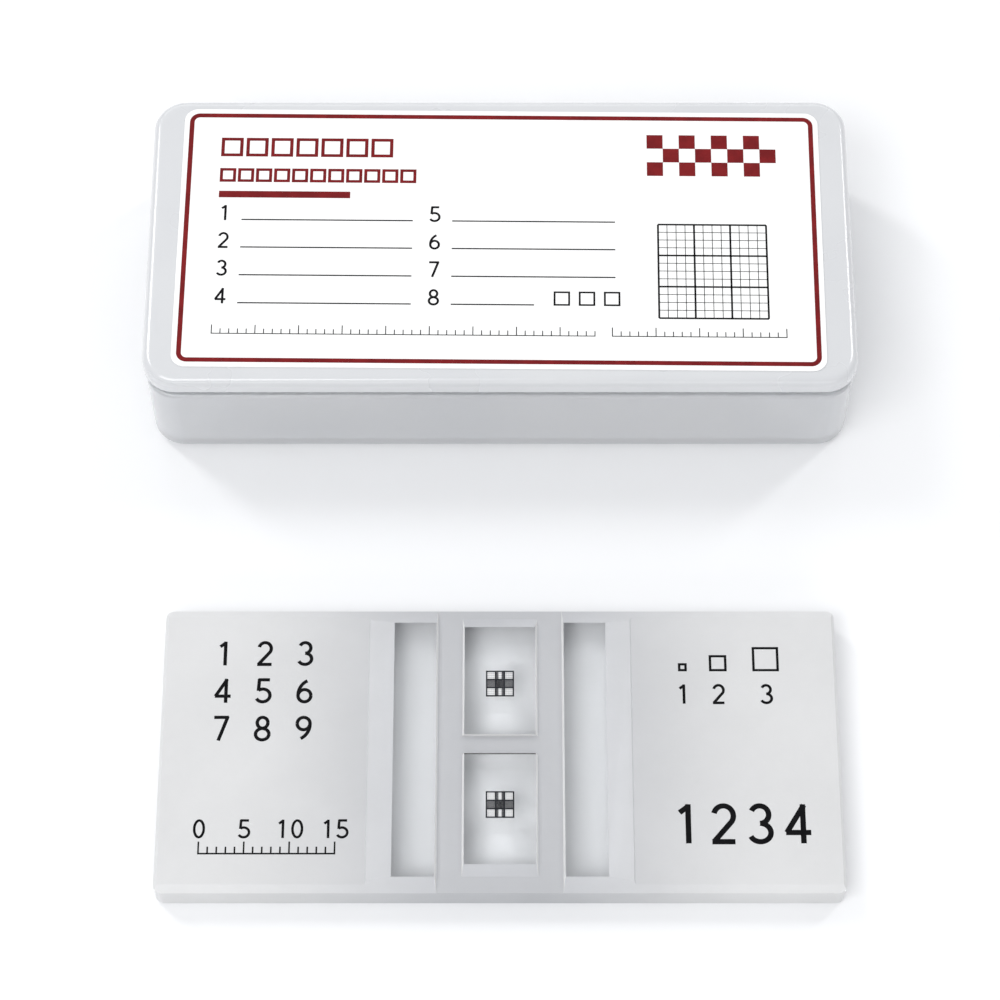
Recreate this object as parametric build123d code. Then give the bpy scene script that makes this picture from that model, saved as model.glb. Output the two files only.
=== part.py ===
from build123d import *
import math
import os

os.makedirs("parts", exist_ok=True)

# Counting chamber: one block of glass, ground and polished on its top. All sizes are in millimetres.
chamber_length = 76.0
chamber_depth = 34.0
ridge_top = 4.0
film_depth = 0.1
floor_drop = 0.65
shoulder_drop = 0.3
ramp_drop = 0.15
platform_width = 8.0
moat_width = 3.2
ridge_width = 4.75
ramp_width = 2.9
wall_run = 0.22
edge_run = 0.8
end_bevel_run = 0.9
platform_length = 28.6
platform_bevel_run = 1.25
groove_width = 2.3
groove_shift = 0.5
chamber_corner_radius = 1.0
chamber_foot_bevel = 0.3
chamber_end_bevel = 0.35

# Ruled fields: three by three large squares on each counting platform
square_pitch = 1.0
squares_across = 3
field_line_width = 0.12
ruling_height = 0.03
field_spacing = 14.6

# Cover glasses
cover_length = 26.0
cover_depth = 20.0
cover_thickness = 0.4

# Case, worked out from the chamber that it holds
end_room = 1.4
side_room = 0.7
case_wall = 1.4
case_floor = 1.1
shoulder_height = 12.2
reveal_height = 1.6
collar_inset = 0.8
case_corner_radius = 3.6
case_foot_radius = 1.2
shoulder_radius = 0.5
lid_plate = 1.0
lid_skirt_drop = 1.2
lid_skirt_wall = 0.75
lid_gap = 0.25
lid_edge_radius = 1.0
lid_head_room = 0.1

# Hold-down ribs under the lid
rib_thickness = 1.0
rib_end_inset = 5.6
rib_side_inset = 16.0
rib_play = 0.2

# Label on the lid
label_length = 75.0
label_depth = 35.0
label_thickness = 0.12
label_corner_radius = 1.6
label_turn = 0.5

# Rear hinges
hinge_end_inset = 16.8
pin_radius = 0.6
pin_press_play = 0.01
pin_running_play = 0.05
knuckle_radius = 1.4
base_knuckle_length = 3.0
lid_knuckle_length = 6.0
knuckle_gap = 0.2
knuckle_standoff = 0.3
arm_thickness = 0.8
arm_wall_gap = 0.25
arm_root_height = 0.8
open_lid_clearance = 0.1
pin_end_recess = 0.2
root_sink = 0.3

# Cradle that carries the chamber and the cover glasses
cradle_play = 0.3
cradle_plate = 0.8
saddle_height = 5.0
saddle_rib = 1.0
saddle_rib_end_inset = 3.0
saddle_rib_inset = (2.0, 6.0)
end_stop_height = 3.2
end_stop_play = 0.3
end_stop_depth = 7.0
end_stop_inset = 2.5
pocket_play = 0.3
pocket_rim = 0.8
pocket_rim_height = 0.9
pocket_gap = 6.0
pocket_notch = 8.0

# Where the chamber lies on the bench, in front of the case
bench_gap = 23.0

# Sizes that follow
case_length = chamber_length + 2 * (end_room + case_wall)
case_depth = chamber_depth + 2 * (side_room + case_wall)
hinge_spacing = case_length - 2 * hinge_end_inset
rib_spacing = chamber_length - 2 * rib_side_inset
rib_length = chamber_depth - 2 * rib_end_inset
pocket_length = cover_length + 2 * pocket_play
pocket_width = cover_depth + 2 * pocket_play
pocket_spacing = pocket_width + 2 * pocket_rim + pocket_gap
saddle_rib_depth = chamber_depth - 2 * saddle_rib_end_inset
end_stop_offset = chamber_depth / 2 - end_stop_inset - end_stop_depth / 2
lid_overhang = lid_gap + lid_skirt_wall - collar_inset
lid_underside = shoulder_height + reveal_height + lid_skirt_drop
lid_bottom = shoulder_height + reveal_height
case_height = lid_underside + lid_plate
collar_top = lid_underside - lid_head_room
chamber_y = -(case_depth / 2 + bench_gap + chamber_depth / 2)
glass_floor = ridge_top - floor_drop
platform_top = ridge_top - film_depth
saddle_top = case_floor + saddle_height
hinge_y = case_depth / 2 + knuckle_standoff + knuckle_radius
hinge_z = case_height / 2 + open_lid_clearance


def rounded_block(length, depth, radius, bottom, top):
    """Upright block with rounded corners, centred on the case."""
    outline = RectangleRounded(length, depth, radius)
    return extrude(Pos(0, 0, bottom) * outline, amount=top - bottom)


def box_between(low, high):
    """Plain block between two corners."""
    size = [b - a for a, b in zip(low, high)]
    middle = [(a + b) / 2 for a, b in zip(low, high)]
    return Pos(*middle) * Box(*size)


def edges_at(solid, height):
    """Edges that lie wholly at one height."""
    return solid.edges().filter_by_position(Axis.Z, height - 0.001, height + 0.001)


def rod(radius, length, middle_x):
    """Round bar along the hinge line."""
    return Pos(middle_x, hinge_y, hinge_z) * Rot(0, 90, 0) * Cylinder(radius, length)


def frustum(half_x, half_y, low, high, run_x, run_y):
    """Raised land whose walls slope in by the two runs from its foot to its top."""
    foot = Pos(0, 0, low) * Rectangle(2 * (half_x + run_x), 2 * (half_y + run_y))
    crown = Pos(0, 0, high) * Rectangle(2 * half_x, 2 * half_y)
    return loft([foot.face(), crown.face()])


def make_chamber():
    """Glass block with its shoulders, ramps, ridges, moats, platforms and cross groove."""
    moat_inner = platform_width / 2
    moat_outer = moat_inner + moat_width
    ridge_outer = moat_outer + ridge_width
    ramp_outer = ridge_outer + ramp_width
    shoulder_z = ridge_top - shoulder_drop
    half = [
        (moat_outer - wall_run, glass_floor),
        (moat_outer, ridge_top),
        (ridge_outer, ridge_top),
        (ramp_outer - ramp_drop, ridge_top - ramp_drop),
        (ramp_outer, shoulder_z),
        (chamber_length / 2 - chamber_end_bevel, shoulder_z),
        (chamber_length / 2, shoulder_z - chamber_end_bevel),
        (chamber_length / 2, 0),
    ]
    outline = half + [(-x, z) for x, z in reversed(half)]
    section = Plane.XZ * make_face(Polyline(*outline, close=True))
    glass = extrude(section, amount=chamber_depth / 2, both=True)

    corners = glass.edges().filter_by(Axis.Z).group_by(SortBy.LENGTH)[-1]
    glass = fillet(corners, chamber_corner_radius)

    platform_half = platform_length / 2
    land = frustum(
        platform_width / 2, platform_half, glass_floor, platform_top, wall_run, platform_bevel_run
    )
    groove_half = groove_width / 2
    groove = box_between(
        (-chamber_length, -groove_half, glass_floor), (chamber_length, groove_half, ridge_top)
    )
    glass += Pos(0, groove_shift, 0) * (land - groove)

    slope = math.degrees(math.atan2(floor_drop, edge_run + end_bevel_run))
    reach = chamber_depth
    for side in (-1, 1):
        cutter = Pos(0, 0, reach / 2) * Box(2 * chamber_length, reach, reach)
        cutter = Rot(-side * slope, 0, 0) * Pos(0, side * reach / 2, 0) * cutter
        glass -= Pos(0, side * (chamber_depth / 2 - edge_run - end_bevel_run), ridge_top) * cutter
    glass = chamfer(edges_at(glass, 0), chamber_foot_bevel)
    return Pos(0, chamber_y, 0) * glass


def make_ruling(side):
    """Lattice of the ruled field's main lines, lying on its platform."""
    half = squares_across * square_pitch / 2
    reach = half + field_line_width / 2
    lattice = None
    for step in range(squares_across + 1):
        place = step * square_pitch - half
        along = Pos(place, 0, 0) * Box(field_line_width, 2 * reach, ruling_height)
        across = Pos(0, place, 0) * Box(2 * reach, field_line_width, ruling_height)
        lattice = along + across if lattice is None else lattice + along + across
    middle_y = chamber_y + groove_shift + side * field_spacing / 2
    return Pos(0, middle_y, platform_top + ruling_height / 2) * lattice


def make_case_base():
    """Tray with a rounded foot, a shoulder, a collar and the fixed hinge knuckles."""
    body = rounded_block(case_length, case_depth, case_corner_radius, 0, shoulder_height)
    body = fillet(edges_at(body, 0), case_foot_radius)
    body = fillet(edges_at(body, shoulder_height), shoulder_radius)
    collar = rounded_block(
        case_length - 2 * collar_inset,
        case_depth - 2 * collar_inset,
        case_corner_radius - collar_inset,
        case_floor,
        collar_top,
    )
    hollow = rounded_block(
        case_length - 2 * case_wall,
        case_depth - 2 * case_wall,
        case_corner_radius - case_wall,
        case_floor,
        case_height,
    )
    tray = body + collar - hollow
    for middle_x in (-hinge_spacing / 2, hinge_spacing / 2):
        for side in (-1, 1):
            x = middle_x + side * (lid_knuckle_length / 2 + knuckle_gap + base_knuckle_length / 2)
            half = base_knuckle_length / 2
            barrel = rod(knuckle_radius, base_knuckle_length, x)
            web = box_between(
                (x - half, case_depth / 2 - root_sink, hinge_z - knuckle_radius),
                (x + half, hinge_y, hinge_z + knuckle_radius),
            )
            tray += barrel + web
            tray -= rod(pin_radius + pin_press_play, 2 * base_knuckle_length, x)
    return tray


def make_case_lid():
    """Shallow lid with a skirt, hold-down ribs and two hinge arms."""
    length = case_length + 2 * lid_overhang
    depth = case_depth + 2 * lid_overhang
    radius = case_corner_radius + lid_overhang
    shell = rounded_block(length, depth, radius, lid_bottom, case_height)
    shell = fillet(edges_at(shell, case_height), lid_edge_radius)
    shell -= rounded_block(
        length - 2 * lid_skirt_wall,
        depth - 2 * lid_skirt_wall,
        radius - lid_skirt_wall,
        lid_bottom,
        lid_underside,
    )
    rib_bottom = saddle_top + ridge_top + rib_play
    for x in (-rib_spacing / 2, rib_spacing / 2):
        shell += box_between(
            (x - rib_thickness / 2, -rib_length / 2, rib_bottom),
            (x + rib_thickness / 2, rib_length / 2, lid_underside + root_sink),
        )
    skirt_face = case_depth / 2 + lid_overhang
    arm_front = case_depth / 2 + arm_wall_gap
    arm_back = arm_front + arm_thickness
    arm_outline = Polyline(
        (skirt_face - root_sink, lid_bottom),
        (skirt_face - root_sink, lid_bottom + arm_root_height),
        (skirt_face, lid_bottom + arm_root_height),
        (arm_back, lid_bottom),
        (arm_back, hinge_z),
        (arm_front, hinge_z),
        (arm_front, lid_bottom),
        close=True,
    )
    for x in (-hinge_spacing / 2, hinge_spacing / 2):
        side_plane = Plane(origin=(x, 0, 0), x_dir=(0, 1, 0), z_dir=(1, 0, 0))
        arm = extrude(side_plane * make_face(arm_outline), amount=lid_knuckle_length / 2, both=True)
        barrel = rod(knuckle_radius, lid_knuckle_length, x)
        shell += arm + barrel
        shell -= rod(pin_radius + pin_running_play, 2 * lid_knuckle_length, x)
    return shell


def make_hinge_pin(middle_x):
    """Steel pin through one hinge."""
    length = lid_knuckle_length + 2 * (knuckle_gap + base_knuckle_length - pin_end_recess)
    return rod(pin_radius, length, middle_x)


def make_label():
    """Paper label on the lid, set down slightly askew."""
    outline = RectangleRounded(label_length, label_depth, label_corner_radius)
    sheet = extrude(outline, amount=label_thickness)
    return Pos(0, 0, case_height) * Rot(0, 0, -label_turn) * sheet


def make_cradle():
    """Insert with end ribs and stops for the chamber and two pockets for the cover glasses."""
    plate_length = chamber_length + 2 * (end_room - cradle_play)
    plate_depth = chamber_depth + 2 * (side_room - cradle_play)
    plate_top = case_floor + cradle_plate
    plate_radius = case_corner_radius - case_wall - cradle_play
    cradle = rounded_block(plate_length, plate_depth, plate_radius, case_floor, plate_top)
    for side in (-1, 1):
        for inset in saddle_rib_inset:
            x = side * (chamber_length / 2 - inset)
            cradle += box_between(
                (x - saddle_rib / 2, -saddle_rib_depth / 2, case_floor),
                (x + saddle_rib / 2, saddle_rib_depth / 2, saddle_top),
            )
        inner = side * (chamber_length / 2 + end_stop_play)
        outer = side * plate_length / 2
        for end in (-1, 1):
            y = end * end_stop_offset
            cradle += box_between(
                (min(inner, outer), y - end_stop_depth / 2, case_floor),
                (max(inner, outer), y + end_stop_depth / 2, saddle_top + end_stop_height),
            )
        web_inner, web_outer = (side * (chamber_length / 2 - inset) for inset in saddle_rib_inset[::-1])
        for end in (-1, 1):
            y = end * (saddle_rib_depth - saddle_rib) / 2
            cradle += box_between(
                (min(web_inner, web_outer), y - saddle_rib / 2, case_floor),
                (max(web_inner, web_outer), y + saddle_rib / 2, saddle_top),
            )
        middle = side * pocket_spacing / 2
        rim = Pos(middle, 0, plate_top + pocket_rim_height / 2) * (
            Box(pocket_width + 2 * pocket_rim, pocket_length + 2 * pocket_rim, pocket_rim_height)
            - Box(pocket_width, pocket_length, pocket_rim_height)
            - Box(pocket_notch, 2 * pocket_length, pocket_rim_height)
        )
        cradle += rim
    return cradle


def make_cover_glass(side):
    """Cover glass lying in its pocket."""
    height = case_floor + cradle_plate + cover_thickness / 2
    return Pos(side * pocket_spacing / 2, 0, height) * Box(cover_depth, cover_length, cover_thickness)


nodes = {
    "case_base": make_case_base(),
    "case_lid": make_case_lid(),
    "lid_label": make_label(),
    "hinge_pin_left": make_hinge_pin(-hinge_spacing / 2),
    "hinge_pin_right": make_hinge_pin(hinge_spacing / 2),
    "cradle": make_cradle(),
    "cover_glass_left": make_cover_glass(-1),
    "cover_glass_right": make_cover_glass(1),
    "counting_chamber": make_chamber(),
    "ruling_upper": make_ruling(1),
    "ruling_lower": make_ruling(-1),
}
for name, shape in nodes.items():
    export_step(shape, f"parts/{name}.step")
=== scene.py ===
import math
import bpy
import numpy as np
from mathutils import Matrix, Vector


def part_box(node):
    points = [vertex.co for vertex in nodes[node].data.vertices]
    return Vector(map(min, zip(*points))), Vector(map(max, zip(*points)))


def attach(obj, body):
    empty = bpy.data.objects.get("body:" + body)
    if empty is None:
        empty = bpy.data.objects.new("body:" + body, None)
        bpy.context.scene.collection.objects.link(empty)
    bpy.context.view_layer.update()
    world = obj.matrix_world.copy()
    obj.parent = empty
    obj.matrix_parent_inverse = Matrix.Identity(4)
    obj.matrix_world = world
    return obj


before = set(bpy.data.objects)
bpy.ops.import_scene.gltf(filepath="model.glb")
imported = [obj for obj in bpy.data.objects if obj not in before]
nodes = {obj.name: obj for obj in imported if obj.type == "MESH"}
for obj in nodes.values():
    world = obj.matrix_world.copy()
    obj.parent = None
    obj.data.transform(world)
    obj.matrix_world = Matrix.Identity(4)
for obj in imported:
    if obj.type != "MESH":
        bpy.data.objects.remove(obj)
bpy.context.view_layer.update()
mm = 0.001  # every size below is in millimetres, every mesh in metres

print("stage 1: mesh helpers")


# one mesh object with flat faces, from whole arrays of points and faces
def addMesh(name, points, faces):
    mesh = bpy.data.meshes.new(name)
    mesh.from_pydata(np.asarray(points, float).tolist(), [], np.asarray(faces, int).tolist())
    mesh.polygons.foreach_set("use_smooth", np.zeros(len(mesh.polygons), bool))
    mesh.update()
    piece = bpy.data.objects.new(name, mesh)
    bpy.context.scene.collection.objects.link(piece)
    return piece


# gives a piece its finish and the body that carries it
def dress(piece, material, body):
    piece.data.materials.clear()
    piece.data.materials.append(material)
    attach(piece, body)
    return piece


# faces of a grid of rows by columns: each cell joins a point to the next in its row and the next row's pair
def gridFaces(rows, columns, closed):
    row = np.arange(rows - 1)[:, None]
    column = np.arange(columns if closed else columns - 1)[None, :]
    here, right = row * columns + column, row * columns + (column + 1) % columns
    return np.stack([here, right, right + columns, here + columns], -1).reshape(-1, 4)


# upright blocks: each corner is the low corner plus none or all of the block's size along each axis
def blocks(lows, highs):
    lows, highs = np.atleast_2d(lows).astype(float), np.atleast_2d(highs).astype(float)
    pick = np.array([[0, 0, 0], [1, 0, 0], [1, 1, 0], [0, 1, 0], [0, 0, 1], [1, 0, 1], [1, 1, 1], [0, 1, 1]])
    points = lows[:, None, :] + pick[None] * (highs - lows)[:, None, :]
    sides = np.array([[0, 3, 2, 1], [4, 5, 6, 7], [0, 1, 5, 4], [1, 2, 6, 5], [2, 3, 7, 6], [3, 0, 4, 7]])
    faces = sides[None] + 8 * np.arange(len(lows))[:, None, None]
    return points.reshape(-1, 3), faces.reshape(-1, 4)


# flat bars: each is left, bottom, right, top, and all share one height
def bars(plan, bottom, height):
    plan = np.atleast_2d(plan).astype(float)
    flat = np.full((len(plan), 1), bottom)
    return blocks(np.hstack([plan[:, :2], flat]), np.hstack([plan[:, 2:], flat + height]))


# points turned about the upright axis by the angle, then moved to the middle
def placed(points, turn, middle):
    c, s = math.cos(turn), math.sin(turn)
    return np.asarray(points, float) @ np.array([[c, s, 0], [-s, c, 0], [0, 0, 1]]) + np.asarray(middle)


# rounded rectangle: in each quarter the angle runs through 90 degrees, on a circle set in the corner by its
# radius
def roundedLoop(length, depth, radius, steps):
    quarter = np.repeat(np.arange(4), steps)
    angle = quarter * np.pi / 2 + np.tile(np.linspace(0, np.pi / 2, steps), 4)
    cornerX = np.array([1, -1, -1, 1])[quarter] * (length / 2 - radius)
    cornerY = np.array([1, 1, -1, -1])[quarter] * (depth / 2 - radius)
    return np.stack([cornerX + radius * np.cos(angle), cornerY + radius * np.sin(angle)], -1)


# frame: a rectangular section of width by height carried round a rounded rectangle, its last loop being the
# first again
def roundedFrame(length, depth, radius, width, height, steps=10):
    outer = roundedLoop(length, depth, radius, steps)
    inner = roundedLoop(length - 2 * width, depth - 2 * width, radius - width, steps)
    section = [(outer, 0), (outer, height), (inner, height), (inner, 0)]
    points = np.concatenate([np.column_stack([loop, np.full(len(loop), z)]) for loop, z in section])
    return points, gridFaces(len(section) + 1, len(outer), True) % len(points)


# numerals are drawn with a pen: its line and its spacing are shares of a digit's height, and strokes that
# cross rise by a step each, so that no two of their tops share a plane
pen = {"line": 0.13, "spacing": 0.76, "middle": 0.3, "step": 0.002, "arcSteps": 25}


# strokes of each digit in a box 0.6 wide and 1 high: straight runs, and arcs of an ellipse between two angles
def digitStrokes():
    def arc(x, y, acrossRadius, upRadius, first, last):
        angle = np.radians(np.linspace(first, last, pen["arcSteps"]))
        return np.column_stack([x + acrossRadius * np.cos(angle), y + upRadius * np.sin(angle)])

    def run(*spots):
        return np.array(spots, float)

    six = [arc(0.3, 0.3, 0.24, 0.25, 0, 360), arc(0.6, 0.32, 0.54, 0.63, 112, 180)]
    return {
        "0": [arc(0.3, 0.5, 0.24, 0.45, 0, 360)],
        "1": [run((0.14, 0.78), (0.36, 0.95)), run((0.34, 0.99), (0.34, 0.01))],
        "2": [arc(0.3, 0.7, 0.23, 0.25, 165, -38), run((0.5, 0.57), (0.06, 0.05)),
              run((0.02, 0.05), (0.56, 0.05))],
        "3": [arc(0.28, 0.73, 0.21, 0.22, 155, -90), arc(0.28, 0.28, 0.25, 0.23, 90, -155)],
        "4": [run((0.42, 0.99), (0.42, 0.01)), run((0.45, 0.97), (0.03, 0.28)),
              run((0.01, 0.28), (0.6, 0.28))],
        "5": [run((0.52, 0.95), (0.1, 0.95)), run((0.13, 0.99), (0.1, 0.5)),
              arc(0.27, 0.31, 0.27, 0.26, 128, -150)],
        "6": six,
        "7": [run((0.02, 0.95), (0.57, 0.95)), run((0.53, 0.98), (0.2, 0.01))],
        "8": [arc(0.3, 0.73, 0.2, 0.22, 0, 360), arc(0.3, 0.27, 0.25, 0.23, 0, 360)],
        "9": [(0.6, 1.0) - stroke for stroke in six],
    }


# a stroke as solid print: a rectangle of the line's width and height carried along the stroke, square to it
def strokeSolid(path, line, height):
    along = np.gradient(path, axis=0)
    along /= np.linalg.norm(along, axis=1)[:, None]
    beside = np.column_stack([-along[:, 1], along[:, 0]]) * line / 2
    section = [(path - beside, 0), (path + beside, 0), (path + beside, height), (path - beside, height)]
    edges = [np.column_stack([edge, np.full(len(path), z)]) for edge, z in section]
    last = len(section) * (len(path) - 1)
    ends = [[0, 1, 2, 3], [last + 3, last + 2, last + 1, last]]
    sides = gridFaces(len(path), len(section), True)[:, ::-1]
    return np.stack(edges, 1).reshape(-1, 3), np.concatenate([sides, ends])


# plain numerals: each mark is its digits, middle x, middle y and height
def numerals(marks, height):
    strokes, points, faces, count = digitStrokes(), [], [], 0
    for digits, x, y, size in marks:
        for place, digit in enumerate(digits):
            left = x + size * (pen["spacing"] * (place - (len(digits) - 1) / 2) - pen["middle"])
            for layer, stroke in enumerate(strokes[digit]):
                spots, top = stroke * size + (left, y - size / 2), height + pen["step"] * layer
                solid, sides = strokeSolid(spots, size * pen["line"], top)
                points.append(solid)
                faces.append(sides + count)
                count += len(solid)
    return np.concatenate(points), np.concatenate(faces)


print("stage 2: shader groups")


# a shader group with number inputs and one number output
def newGroup(name, inputs, output):
    group = bpy.data.node_groups.new(name, "ShaderNodeTree")
    for label, value in inputs.items():
        group.interface.new_socket(label, in_out="INPUT", socket_type="NodeSocketFloat").default_value = value
    group.interface.new_socket(output, in_out="OUTPUT", socket_type="NodeSocketFloat")
    return group, group.nodes.new("NodeGroupInput"), group.nodes.new("NodeGroupOutput")


# soft uneven value over the surface, running from Low to High
def makeMottle():
    look = {"detail": 4.0, "from": 0.3, "to": 0.7}
    group, start, end = newGroup("mottle", {"Scale": 200.0, "Low": 0.0, "High": 1.0}, "Value")
    coords = group.nodes.new("ShaderNodeTexCoord")
    noise = group.nodes.new("ShaderNodeTexNoise")
    noise.inputs["Detail"].default_value = look["detail"]
    spread = group.nodes.new("ShaderNodeMapRange")
    spread.interpolation_type = "SMOOTHSTEP"
    spread.inputs["From Min"].default_value = look["from"]
    spread.inputs["From Max"].default_value = look["to"]
    link = group.links.new
    link(coords.outputs["Object"], noise.inputs["Vector"])
    link(start.outputs["Scale"], noise.inputs["Scale"])
    link(noise.outputs["Fac"], spread.inputs["Value"])
    link(start.outputs["Low"], spread.inputs["To Min"])
    link(start.outputs["High"], spread.inputs["To Max"])
    link(spread.outputs["Result"], end.inputs["Value"])
    return group


# hairline scuffs: stretched noise cut to its peaks, so most of the surface has none
def makeScuffs():
    look = {"detail": 2.0, "from": 0.66, "to": 0.74, "stretch": (1.0, 26.0, 4.0)}
    group, start, end = newGroup("scuffs", {"Scale": 60.0, "Turn": 0.4, "Amount": 0.5}, "Mask")
    coords = group.nodes.new("ShaderNodeTexCoord")
    turned = group.nodes.new("ShaderNodeVectorRotate")
    turned.rotation_type = "Z_AXIS"
    stretch = group.nodes.new("ShaderNodeVectorMath")
    stretch.operation = "MULTIPLY"
    stretch.inputs[1].default_value = look["stretch"]
    noise = group.nodes.new("ShaderNodeTexNoise")
    noise.inputs["Detail"].default_value = look["detail"]
    cut = group.nodes.new("ShaderNodeMapRange")
    cut.inputs["From Min"].default_value = look["from"]
    cut.inputs["From Max"].default_value = look["to"]
    link = group.links.new
    link(coords.outputs["Object"], turned.inputs["Vector"])
    link(start.outputs["Turn"], turned.inputs["Angle"])
    link(turned.outputs["Vector"], stretch.inputs[0])
    link(stretch.outputs["Vector"], noise.inputs["Vector"])
    link(start.outputs["Scale"], noise.inputs["Scale"])
    link(noise.outputs["Fac"], cut.inputs["Value"])
    link(start.outputs["Amount"], cut.inputs["To Max"])
    link(cut.outputs["Result"], end.inputs["Mask"])
    return group


mottle = makeMottle()
scuffs = makeScuffs()

print("stage 3: materials")


# a material with its tree and its shader, whose plain numbers are set on the shader's own sockets
def newMaterial(name, color, roughness, **plain):
    material = bpy.data.materials.new(name)
    material.use_nodes = True
    shader = material.node_tree.nodes["Principled BSDF"]
    shader.inputs["Base Color"].default_value = color
    shader.inputs["Roughness"].default_value = roughness
    for socket, value in plain.items():
        shader.inputs[socket].default_value = value
    return material, material.node_tree, shader


# a group's output, with the inputs that differ from the group's own values
def addGroup(tree, group, **values):
    node = tree.nodes.new("ShaderNodeGroup")
    node.node_tree = group
    for socket, value in values.items():
        node.inputs[socket].default_value = value
    return node.outputs[0]


# base colour that runs from the first colour to the second by a mask
def mixColors(tree, shader, mask, first, second):
    mix = tree.nodes.new("ShaderNodeMix")
    mix.data_type = "RGBA"
    mix.inputs["A"].default_value = first
    mix.inputs["B"].default_value = second
    tree.links.new(mask, mix.inputs["Factor"])
    tree.links.new(mix.outputs["Result"], shader.inputs["Base Color"])


# small relief on the surface from a height between 0 and 1
def addBump(tree, shader, height, strength, distance):
    bump = tree.nodes.new("ShaderNodeBump")
    bump.inputs["Strength"].default_value = strength
    bump.inputs["Distance"].default_value = distance
    tree.links.new(height, bump.inputs["Height"])
    tree.links.new(bump.outputs["Normal"], shader.inputs["Normal"])


# one value made from another: times the first number, plus the second
def scaled(tree, value, times, plus):
    node = tree.nodes.new("ShaderNodeMath")
    node.operation = "MULTIPLY_ADD"
    node.inputs[1].default_value = times
    node.inputs[2].default_value = plus
    tree.links.new(value, node.inputs[0])
    return node.outputs["Value"]


plastic = {"ior": 1.45, "rippleDepth": 0.05 * mm}


# milky moulded plastic: clouded colour and gloss, and part of the light goes through
def milkyPlastic(name, look):
    material, tree, shader = newMaterial(
        name, look["color"], look["roughness"],
        **{"Transmission Weight": look["through"], "IOR": plastic["ior"], "Coat Weight": look["coat"],
           "Coat Roughness": look["coatRoughness"]},
    )
    cloud = addGroup(tree, mottle, Scale=look["cloudScale"])
    mixColors(tree, shader, cloud, look["color"], look["cloudColor"])
    tree.links.new(scaled(tree, cloud, look["handled"], look["roughness"]), shader.inputs["Roughness"])
    ripple = addGroup(tree, mottle, Scale=look["rippleScale"])
    addBump(tree, shader, ripple, look["rippleStrength"], plastic["rippleDepth"])
    return material


casePlastic = milkyPlastic("milkyCase", {
    "color": (0.83, 0.845, 0.87, 1), "cloudColor": (0.87, 0.88, 0.9, 1), "roughness": 0.28, "through": 0.5,
    "coat": 0.9, "coatRoughness": 0.05, "cloudScale": 60, "handled": 0.06, "rippleScale": 60,
    "rippleStrength": 0.05,
})
# the lid is the same plastic as the base, given a darker colour: painted shade for its upward top, which the
# lights strike most
shadedLidPlastic = milkyPlastic("milkyLidShaded", {
    "color": (0.7, 0.71, 0.73, 1), "cloudColor": (0.73, 0.74, 0.755, 1), "roughness": 0.25, "through": 0.1,
    "coat": 1.0, "coatRoughness": 0.04, "cloudScale": 60, "handled": 0.06, "rippleScale": 50,
    "rippleStrength": 0.04,
})
cradlePlastic = milkyPlastic("milkyCradle", {
    "color": (0.85, 0.86, 0.88, 1), "cloudColor": (0.88, 0.89, 0.9, 1), "roughness": 0.45, "through": 0.3,
    "coat": 0.1, "coatRoughness": 0.3, "cloudScale": 90, "handled": 0.08, "rippleScale": 300,
    "rippleStrength": 0.15,
})


# smooth label paper with a faint fibre
def makePaper():
    look = {
        "color": (0.96, 0.96, 0.955, 1), "fibre": (0.92, 0.92, 0.91, 1), "roughness": 0.4, "coat": 0.15,
        "coatRoughness": 0.25, "fibreScale": 900, "fibreStrength": 0.2, "fibreDepth": 0.02 * mm,
    }
    material, tree, shader = newMaterial(
        "labelPaper", look["color"], look["roughness"],
        **{"Coat Weight": look["coat"], "Coat Roughness": look["coatRoughness"]},
    )
    fibres = addGroup(tree, mottle, Scale=look["fibreScale"])
    mixColors(tree, shader, fibres, look["color"], look["fibre"])
    addBump(tree, shader, fibres, look["fibreStrength"], look["fibreDepth"])
    return material


ink = {"grainScale": 700}


# printed ink, laid down a little unevenly
def makeInk(name, look):
    material, tree, shader = newMaterial(
        name, look["color"], look["roughness"], **{"Specular IOR Level": look["shine"]}
    )
    mixColors(tree, shader, addGroup(tree, mottle, Scale=ink["grainScale"]), look["color"], look["thin"])
    return material


# drawn steel wire: scuffs along it break its shine
def makeSteel():
    look = {
        "color": (0.62, 0.62, 0.64, 1), "roughness": 0.25, "scuffScale": 90, "scuffs": 0.25,
        "scuffStrength": 0.3, "scuffDepth": 0.01 * mm,
    }
    material, tree, shader = newMaterial("pinSteel", look["color"], look["roughness"], Metallic=1.0)
    drawn = addGroup(tree, scuffs, Scale=look["scuffScale"], Turn=0.0, Amount=look["scuffs"])
    tree.links.new(scaled(tree, drawn, 1.0, look["roughness"]), shader.inputs["Roughness"])
    addBump(tree, shader, drawn, look["scuffStrength"], look["scuffDepth"])
    return material


glass = {"ior": 1.52, "smear": 0.004, "shade": 0.3}


# polished glass: light that casts its shadow passes for the most part, as it does through real glass
def makeGlass(name, look):
    material, tree, shader = newMaterial(
        name, look["color"], 0.0, **{"Transmission Weight": 1.0, "IOR": glass["ior"]}
    )
    smear = addGroup(tree, mottle, Scale=look["smearScale"], High=glass["smear"])
    tree.links.new(smear, shader.inputs["Roughness"])
    path = tree.nodes.new("ShaderNodeLightPath")
    shadow = path.outputs["Is Shadow Ray"]
    tree.links.new(scaled(tree, shadow, glass["shade"] - 1.0, 1.0), shader.inputs["Alpha"])
    return material
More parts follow.
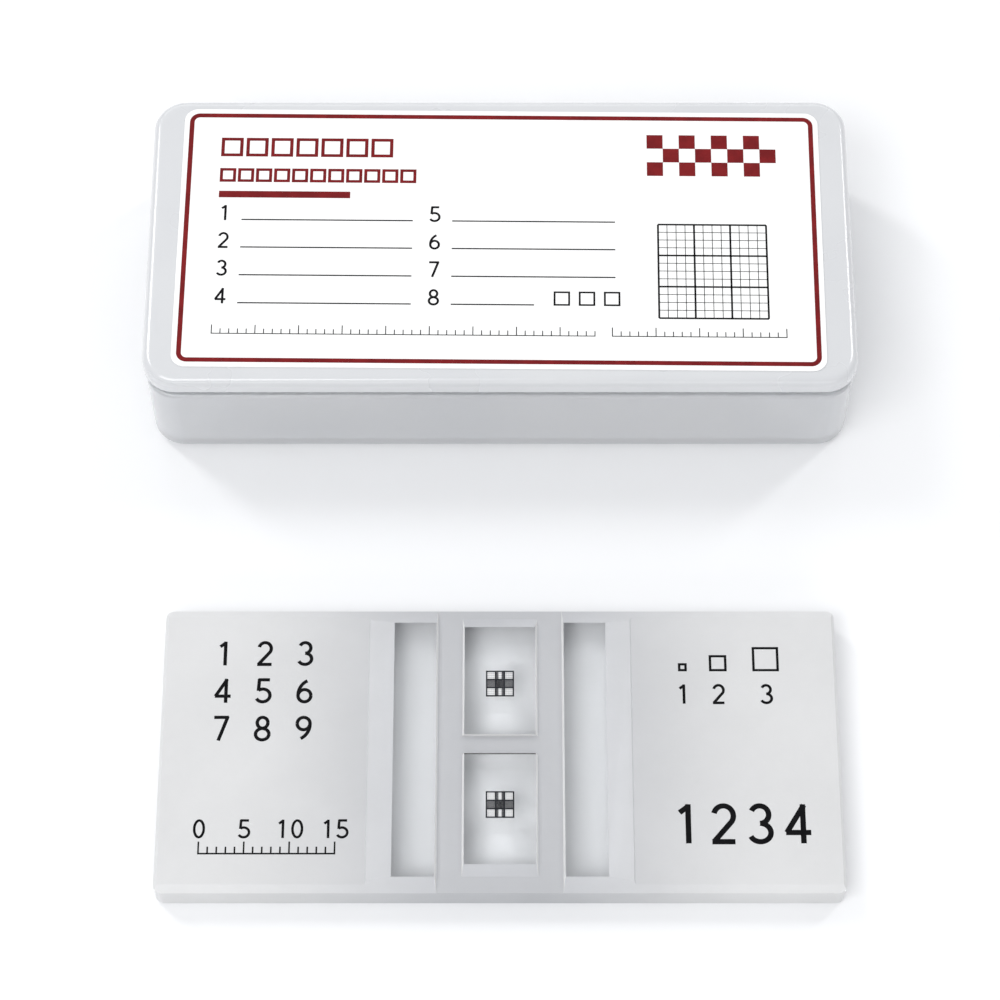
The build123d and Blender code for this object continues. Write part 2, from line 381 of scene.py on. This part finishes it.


# mask that rises smoothly with the distance from the middle along the length; it sets where the painted shade
# at the middle fades out
def awayFromMiddle(tree, look):
    coords = tree.nodes.new("ShaderNodeTexCoord")
    split = tree.nodes.new("ShaderNodeSeparateXYZ")
    distance = tree.nodes.new("ShaderNodeMath")
    distance.operation = "ABSOLUTE"
    fade = tree.nodes.new("ShaderNodeMapRange")
    fade.interpolation_type = "SMOOTHSTEP"
    fade.inputs["From Min"].default_value = look["fadeFrom"] * mm
    fade.inputs["From Max"].default_value = look["fadeTo"] * mm
    link = tree.links.new
    link(coords.outputs["Object"], split.inputs["Vector"])
    link(split.outputs["X"], distance.inputs[0])
    link(distance.outputs["Value"], fade.inputs["Value"])
    return fade.outputs["Result"]


ground = {
    "roughness": 0.55, "through": 0.3, "ior": 1.3, "grainScale": 2600, "grainStrength": 0.35,
    "grainDepth": 0.02 * mm, "coverScale": 70,
}


# finely ground glass: white grain that hides part of what lies behind it
def makeGroundGlass(name, look):
    material, tree, shader = newMaterial(
        name, look["color"], ground["roughness"],
        **{"Transmission Weight": ground["through"], "IOR": ground["ior"]},
    )
    # towards the middle of the length the colour runs to a darker grey: painted shade
    if "shadedMiddleColor" in look:
        mixColors(tree, shader, awayFromMiddle(tree, look), look["shadedMiddleColor"], look["color"])
    grain = addGroup(tree, mottle, Scale=ground["grainScale"])
    addBump(tree, shader, grain, ground["grainStrength"], ground["grainDepth"])
    cover = addGroup(tree, mottle, Scale=ground["coverScale"], Low=look["thinnest"], High=look["thickest"])
    tree.links.new(cover, shader.inputs["Alpha"])
    return material


labelPaper = makePaper()
blackInk = makeInk("blackInk", {
    "color": (0.004, 0.004, 0.005, 1), "thin": (0.007, 0.007, 0.008, 1), "roughness": 0.6, "shine": 0.06,
})
redInk = makeInk("redInk", {
    "color": (0.15, 0.002, 0.004, 1), "thin": (0.2, 0.005, 0.007, 1), "roughness": 0.5, "shine": 0.2,
})
lineInk = makeInk("etchedLines", {
    "color": (0.02, 0.021, 0.026, 1), "thin": (0.035, 0.036, 0.042, 1), "roughness": 0.5, "shine": 0.2,
})
pinSteel = makeSteel()
chamberGlass = makeGlass("polishedGlass", {
    "color": (0.925, 0.935, 0.945, 1), "smearScale": 120,
})
coverGlass = makeGlass("coverGlassClear", {
    "color": (0.96, 0.985, 0.975, 1), "smearScale": 90,
})
groundGlass = makeGroundGlass("groundGlass", {
    # the darker middle colour is painted shade, greyest at the middle of the chamber and gone by the ends
    "color": (0.99, 0.992, 0.995, 1), "shadedMiddleColor": (0.7, 0.71, 0.735, 1), "fadeFrom": 3, "fadeTo": 31,
    "thinnest": 0.86, "thickest": 0.94,
})
# pure white, nearly opaque skin for the steep walls: painted highlight lines along the ridge and platform
# edges
paintedHighlightEdge = makeGroundGlass("paintedHighlightEdge", {
    "color": (1.0, 1.0, 1.0, 1), "thinnest": 0.96, "thickest": 1.0,
})
fieldGround = makeGroundGlass("fieldGround", {
    "color": (0.98, 0.98, 0.98, 1), "thinnest": 0.5, "thickest": 0.6,
})

cadFinish = {
    "case_base": casePlastic, "case_lid": shadedLidPlastic, "cradle": cradlePlastic, "lid_label": labelPaper,
    "hinge_pin_left": pinSteel, "hinge_pin_right": pinSteel, "counting_chamber": chamberGlass,
    "ruling_upper": lineInk, "ruling_lower": lineInk, "cover_glass_left": coverGlass,
    "cover_glass_right": coverGlass,
}
for nodeName, finish in cadFinish.items():
    nodes[nodeName].data.materials.clear()
    nodes[nodeName].data.materials.append(finish)

print("stage 4: ground skin of the counting chamber")
skin = {
    "ridgeTop": 4.0, "platformTop": 3.9, "heightPlay": 0.01, "flat": 0.999, "wallFrom": -0.1, "wallTo": 0.6,
    "outerWallDrop": 0.75, "thickness": 0.012, "decimals": 7, "leastArea": 1e-18,
}


# corners, triangles, upward part of each triangle's normal and its mean height, from the chamber's own faces
def chamberFaces():
    source = nodes["counting_chamber"].data
    spots = np.empty(len(source.vertices) * 3)
    source.vertices.foreach_get("co", spots)
    source.calc_loop_triangles()
    corners = np.empty(len(source.loop_triangles) * 3, int)
    source.loop_triangles.foreach_get("vertices", corners)
    rounded = np.round(spots.reshape(-1, 3), skin["decimals"])
    merged, where = np.unique(rounded, axis=0, return_inverse=True)
    triangles = where.reshape(-1)[corners].reshape(-1, 3)
    normal = np.cross(merged[triangles[:, 1]] - merged[triangles[:, 0]],
                      merged[triangles[:, 2]] - merged[triangles[:, 0]])
    area = np.linalg.norm(normal, axis=1)
    facing = normal[:, 2] / np.maximum(area, skin["leastArea"])
    height = merged[triangles][:, :, 2].mean(1) / mm
    return merged, triangles, np.where(area > 0, facing, -1.0), height


# thin skin over some of the chamber's faces: the faces themselves, thickened outwards
def skinOver(name, material, points, triangles):
    used, index = np.unique(triangles, return_inverse=True)
    piece = addMesh(name, points[used], index.reshape(-1, 3))
    wall = piece.modifiers.new("skinThickness", "SOLIDIFY")
    wall.thickness = skin["thickness"] * mm
    wall.offset = 1.0
    return dress(piece, material, "chamber")


facePoints, faceTriangles, facing, faceHeight = chamberFaces()
atLandHeight = np.minimum(
    abs(faceHeight - skin["ridgeTop"]), abs(faceHeight - skin["platformTop"])
) < skin["heightPlay"]
polished = (facing > skin["flat"]) & atLandHeight
underside = facing < -skin["flat"]
outerWall = faceHeight < skin["ridgeTop"] - skin["outerWallDrop"]
steep = (facing > skin["wallFrom"]) & (facing < skin["wallTo"]) & ~outerWall
skinOver("groundSkin", groundGlass, facePoints, faceTriangles[~polished & ~underside & ~steep])
# the skin on the steep walls is painted highlight
skinOver("paintedHighlightWalls", paintedHighlightEdge, facePoints, faceTriangles[steep])

print("stage 5: ruled fields")
ruled = {
    "half": 1.5, "centre": 0.5, "cornerPitch": 0.25, "cornerLine": 0.012, "groupPitch": 0.05,
    "groupLine": 0.03, "sideLines": (0.2, 0.25, 0.3, 0.35, 0.4), "sideLine": 0.04, "mainLine": 0.17,
    "height": 0.02, "padLift": 0.001, "padHeight": 0.004, "slack": 0.01,
}


# fine lines: a loose grid over the field, a close grid over its middle row and centre, close upright lines at
# the sides of its middle column, and four wide main lines each way
def fineLines():
    half, centre, slack = ruled["half"], ruled["centre"], ruled["slack"]
    loose = np.concatenate([np.arange(-half, -centre, ruled["cornerPitch"]),
                            np.arange(centre, half + slack, ruled["cornerPitch"])])
    close = np.arange(-centre, centre + slack, ruled["groupPitch"])
    sides = np.concatenate([-np.array(ruled["sideLines"]), ruled["sideLines"]])
    main, reach = np.array([-half, -centre, centre, half]), half + ruled["mainLine"] / 2

    def upright(places, low, high, line):
        return np.column_stack([places - line / 2, np.full(len(places), low), places + line / 2,
                                np.full(len(places), high)])

    def level(places, low, high, line):
        return upright(places, low, high, line)[:, [1, 0, 3, 2]]

    return np.concatenate([
        upright(loose, -half, half, ruled["cornerLine"]), level(loose, -half, half, ruled["cornerLine"]),
        upright(close, -centre, centre, ruled["groupLine"]), level(close, -half, half, ruled["groupLine"]),
        upright(sides, -half, -centre, ruled["sideLine"]), upright(sides, centre, half, ruled["sideLine"]),
        upright(main, -reach, reach, ruled["mainLine"]), level(main, -reach, reach, ruled["mainLine"]),
    ])


def putOnField(name, shape, middle, material):
    piece = addMesh(name, placed(shape[0] * mm, 0, middle), shape[1])
    return dress(piece, material, "chamber")


half = ruled["half"]
for side in ("upper", "lower"):
    low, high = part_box(f"ruling_{side}")
    middle = ((low[0] + high[0]) / 2, (low[1] + high[1]) / 2, low[2])
    pad = bars([(-half, -half, half, half)], ruled["padLift"], ruled["padHeight"])
    putOnField(f"fineLines_{side}", bars(fineLines(), 0, ruled["height"]), middle, lineInk)
    putOnField(f"fieldPad_{side}", pad, middle, fieldGround)

print("stage 6: print on the label")
label = {
    "turn": -0.5, "height": 0.012, "frame": (73.8, 33.8), "frameRadius": 1.2, "frameWidth": 0.56,
    "titleBar": (-33.0, 5.2, -17.6, 6.1),
    "titleRows": [{"x": -31.7, "y": 12.2, "side": 2.6, "pitch": 2.95, "count": 7, "line": 0.4},
                  {"x": -32.05, "y": 8.3, "side": 1.9, "pitch": 2.12, "count": 11, "line": 0.36}],
    "chequer": {"corner": (17.2, 8.6), "square": 1.9, "columns": 8, "rows": 3},
    "rows": {"first": 2.1, "pitch": 3.75, "count": 4, "line": 0.16, "digit": 2.1, "digitLeft": 2.0,
             "digitRise": 1.0},
    "columns": {"left": (-30.2, -10.2), "right": (-5.6, 13.4), "short": 4.0},
    "boxes": {"first": 7.2, "pitch": 2.9, "count": 3, "side": 1.9, "line": 0.22, "y": -8.2},
    "scale": {"y": -13.2, "left": (-33.0, 44), "right": (13.0, 20), "short": 0.7, "long": 1.2, "line": 0.11},
    "plan": {"corner": (18.4, -10.7), "side": 12.6, "cells": 12, "bold": 4, "boldLine": 0.22,
             "thinLine": 0.08},
}
labelLow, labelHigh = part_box("lid_label")
labelMiddle = ((labelLow[0] + labelHigh[0]) / 2, (labelLow[1] + labelHigh[1]) / 2, labelHigh[2])


# the four bars of an open square about a middle
def openBox(x, y, side, line):
    half = side / 2
    return [
        (x - half, y - half, x + half, y - half + line), (x - half, y + half - line, x + half, y + half),
        (x - half, y - half + line, x - half + line, y + half - line),
        (x + half - line, y - half + line, x + half, y + half - line),
    ]


# scale: a base line with a tick each millimetre, longer at each fifth
def scaleBars(x, y, length, short, long, line):
    half, steps = line / 2, np.arange(length + 1)
    foot, reach = np.full(len(steps), y + line), y + np.where(steps % 5 == 0, long, short)
    ticks = np.column_stack([x + steps - half, foot, x + steps + half, reach])
    return [(x - half, y, x + length + half, y + line)] + ticks.tolist()


# every second square of a small chequered strip
def chequerBars():
    strip = label["chequer"]
    column, row = np.meshgrid(np.arange(strip["columns"]), np.arange(strip["rows"]))
    column, row = column[(column + row) % 2 == 0], row[(column + row) % 2 == 0]
    x, y = strip["corner"][0] + strip["square"] * column, strip["corner"][1] + strip["square"] * row
    return np.column_stack([x, y, x + strip["square"], y + strip["square"]]).tolist()


# head of the label: two rows of open boxes over a bar
def titleBars():
    boxes = [label["titleBar"]]
    for row in label["titleRows"]:
        for place in range(row["count"]):
            boxes += openBox(row["x"] + row["pitch"] * place, row["y"], row["side"], row["line"])
    return boxes


# a form to fill in: numbered lines in two columns, tick boxes and a scale along the foot
def formBars():
    rows, columns, boxes, scale = label["rows"], label["columns"], label["boxes"], label["scale"]
    lines, marks = [], []
    for row in range(rows["count"]):
        y = rows["first"] - rows["pitch"] * row
        rightEnd = columns["right"][1] if row < rows["count"] - 1 else columns["short"]
        lines += [(columns["left"][0], y, columns["left"][1], y + rows["line"]),
                  (columns["right"][0], y, rightEnd, y + rows["line"])]
        middle = y + rows["digitRise"]
        leftX, rightX = columns["left"][0] - rows["digitLeft"], columns["right"][0] - rows["digitLeft"]
        marks += [(str(row + 1), leftX, middle, rows["digit"]),
                  (str(row + 1 + rows["count"]), rightX, middle, rows["digit"])]
    for box in range(boxes["count"]):
        lines += openBox(boxes["first"] + boxes["pitch"] * box, boxes["y"], boxes["side"], boxes["line"])
    for x, length in (scale["left"], scale["right"]):
        lines += scaleBars(x, scale["y"], length, scale["short"], scale["long"], scale["line"])
    return lines, marks


# plan of a ruled field: a grid of thin lines with bold ones between its nine large squares
def planBars():
    plan = label["plan"]
    step = np.arange(plan["cells"] + 1)
    half = np.where(step % plan["bold"] == 0, plan["boldLine"], plan["thinLine"]) / 2
    low, high = step * plan["side"] / plan["cells"] - half, step * plan["side"] / plan["cells"] + half
    start, end = np.zeros(len(step)), np.full(len(step), plan["side"])
    upright, level = np.column_stack([low, start, high, end]), np.column_stack([start, low, end, high])
    return (np.concatenate([upright, level]) + plan["corner"] * 2).tolist()


def putOnLabel(name, shape, material):
    points, faces = shape
    points = placed(np.asarray(points) * mm, math.radians(label["turn"]), labelMiddle)
    return dress(addMesh(name, points, faces), material, "lid")


formLines, formMarks = formBars()
border = roundedFrame(*label["frame"], label["frameRadius"], label["frameWidth"], label["height"])
putOnLabel("labelBorder", border, redInk)
putOnLabel("labelTitleBars", bars(titleBars() + chequerBars(), 0, label["height"]), redInk)
putOnLabel("labelForm", bars(formLines + planBars(), 0, label["height"]), blackInk)
putOnLabel("labelNumerals", numerals(formMarks, label["height"]), blackInk)

print("stage 7: marks on the ground shoulders")
marks = {
    "height": 0.012, "shoulderDrop": 0.3,
    "key": {"corner": (-31.2, 11.6), "pitch": (4.6, -4.6), "side": 3, "size": 3.0},
    "scale": {"x": -33.2, "y": -12.6, "length": 15, "short": 0.9, "long": 1.5, "line": 0.18},
    "scaleNumbers": {"y": -9.6, "size": 2.2, "at": (0, 5, 10, 15)},
    "large": {"x": 20.6, "y": -9.0, "pitch": 4.1, "size": 4.7, "digits": "1234"},
    "squares": {"at": ((1, 20.6), (2, 24.6), (3, 30.0)), "base": 9.4, "line": 0.28, "numberY": 6.6,
                "size": 2.4},
}
glassLow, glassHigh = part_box("counting_chamber")
shoulderMiddle = ((glassLow[0] + glassHigh[0]) / 2, (glassLow[1] + glassHigh[1]) / 2,
                  glassHigh[2] + (skin["thickness"] - marks["shoulderDrop"]) * mm)


# plain marks: a number key and a scale at the left, three sample squares and large digits at the right
def shoulderMarks():
    key, scale, large, squares = marks["key"], marks["scale"], marks["large"], marks["squares"]
    digits = [
        (str(row * key["side"] + column + 1), key["corner"][0] + key["pitch"][0] * column,
         key["corner"][1] + key["pitch"][1] * row, key["size"])
        for row in range(key["side"]) for column in range(key["side"])
    ]
    numbers = marks["scaleNumbers"]
    digits += [(str(at), scale["x"] + at, numbers["y"], numbers["size"]) for at in numbers["at"]]
    digits += [(digit, large["x"] + large["pitch"] * place, large["y"], large["size"])
               for place, digit in enumerate(large["digits"])]
    digits += [(str(side), x, squares["numberY"], squares["size"]) for side, x in squares["at"]]
    lines = scaleBars(scale["x"], scale["y"], scale["length"], scale["short"], scale["long"], scale["line"])
    for side, x in squares["at"]:
        lines += openBox(x, squares["base"] + side / 2, side, squares["line"])
    return lines, digits


def putOnShoulders(name, shape):
    piece = addMesh(name, placed(shape[0] * mm, 0, shoulderMiddle), shape[1])
    return dress(piece, blackInk, "chamber")


markLines, markDigits = shoulderMarks()
putOnShoulders("shoulderLines", bars(markLines, 0, marks["height"]))
putOnShoulders("shoulderNumerals", numerals(markDigits, marks["height"]))

print("stage 8: floor, light and camera")
studio = {
    "floorSize": 3000.0, "floorDrop": 0.05, "floorColor": (0.93, 0.935, 0.945, 1), "floorRoughness": 0.6,
    "skyColor": (0.97, 0.98, 1.0, 1), "skyStrength": 0.6,
    "lights": [
        {"name": "leftStrip", "spot": (-430, 330, 520), "size": (120, 330), "power": 1.1},
        {"name": "rightStrip", "spot": (430, 330, 520), "size": (90, 300), "power": 0.8},
        {"name": "frontSoftbox", "spot": (-220, -320, 560), "size": (420, 300), "power": 1.5},
        {"name": "backSoftbox", "spot": (0, 600, 400), "size": (700, 170), "power": 0.7},
        {"name": "lowFrontSoftbox", "spot": (60, -620, 260), "size": (700, 160), "power": 0.65},
    ],
}
view = {
    "elevation": 63.0, "distance": 381.0, "targetX": 0.0, "targetY": -28.65, "targetZ": 5.0,
    "lens": 118.8, "sensor": 36.0, "nearest": 0.01, "farthest": 20.0,
}

# the floor lies a little below the undersides, so that no two faces share a plane
edge, drop = studio["floorSize"] * mm / 2, -studio["floorDrop"] * mm
floorCorners = [(-edge, -edge, drop), (edge, -edge, drop), (edge, edge, drop), (-edge, edge, drop)]
floor = addMesh("floor", floorCorners, [(0, 1, 2, 3)])
floorMaterial = newMaterial("paleFloor", studio["floorColor"], studio["floorRoughness"])[0]
floor.data.materials.append(floorMaterial)

world = bpy.data.worlds.new("studio")
world.use_nodes = True
world.node_tree.nodes["Background"].inputs["Color"].default_value = studio["skyColor"]
world.node_tree.nodes["Background"].inputs["Strength"].default_value = studio["skyStrength"]
bpy.context.scene.world = world
bpy.context.scene.view_settings.view_transform = "Standard"


# places a light or camera so that it looks at the target
def aim(data, name, spot, target):
    holder = bpy.data.objects.new(name, data)
    bpy.context.scene.collection.objects.link(holder)
    holder.location = spot
    holder.rotation_euler = (holder.location - target).to_track_quat("Z", "Y").to_euler()
    return holder


target = floor.location.copy()
target.x, target.y, target.z = view["targetX"] * mm, view["targetY"] * mm, view["targetZ"] * mm
for light in studio["lights"]:
    data = bpy.data.lights.new(light["name"], "AREA")
    data.shape = "RECTANGLE"
    data.size, data.size_y = (side * mm for side in light["size"])
    data.energy = light["power"]
    aim(data, light["name"], [place * mm for place in light["spot"]], target)

tilt = math.radians(view["elevation"])
cameraData = bpy.data.cameras.new("camera")
cameraData.lens, cameraData.sensor_width = view["lens"], view["sensor"]
cameraData.clip_start, cameraData.clip_end = view["nearest"], view["farthest"]
back, up = view["distance"] * mm * math.cos(tilt), view["distance"] * mm * math.sin(tilt)
bpy.context.scene.camera = aim(cameraData, "camera", (target.x, target.y - back, target.z + up), target)
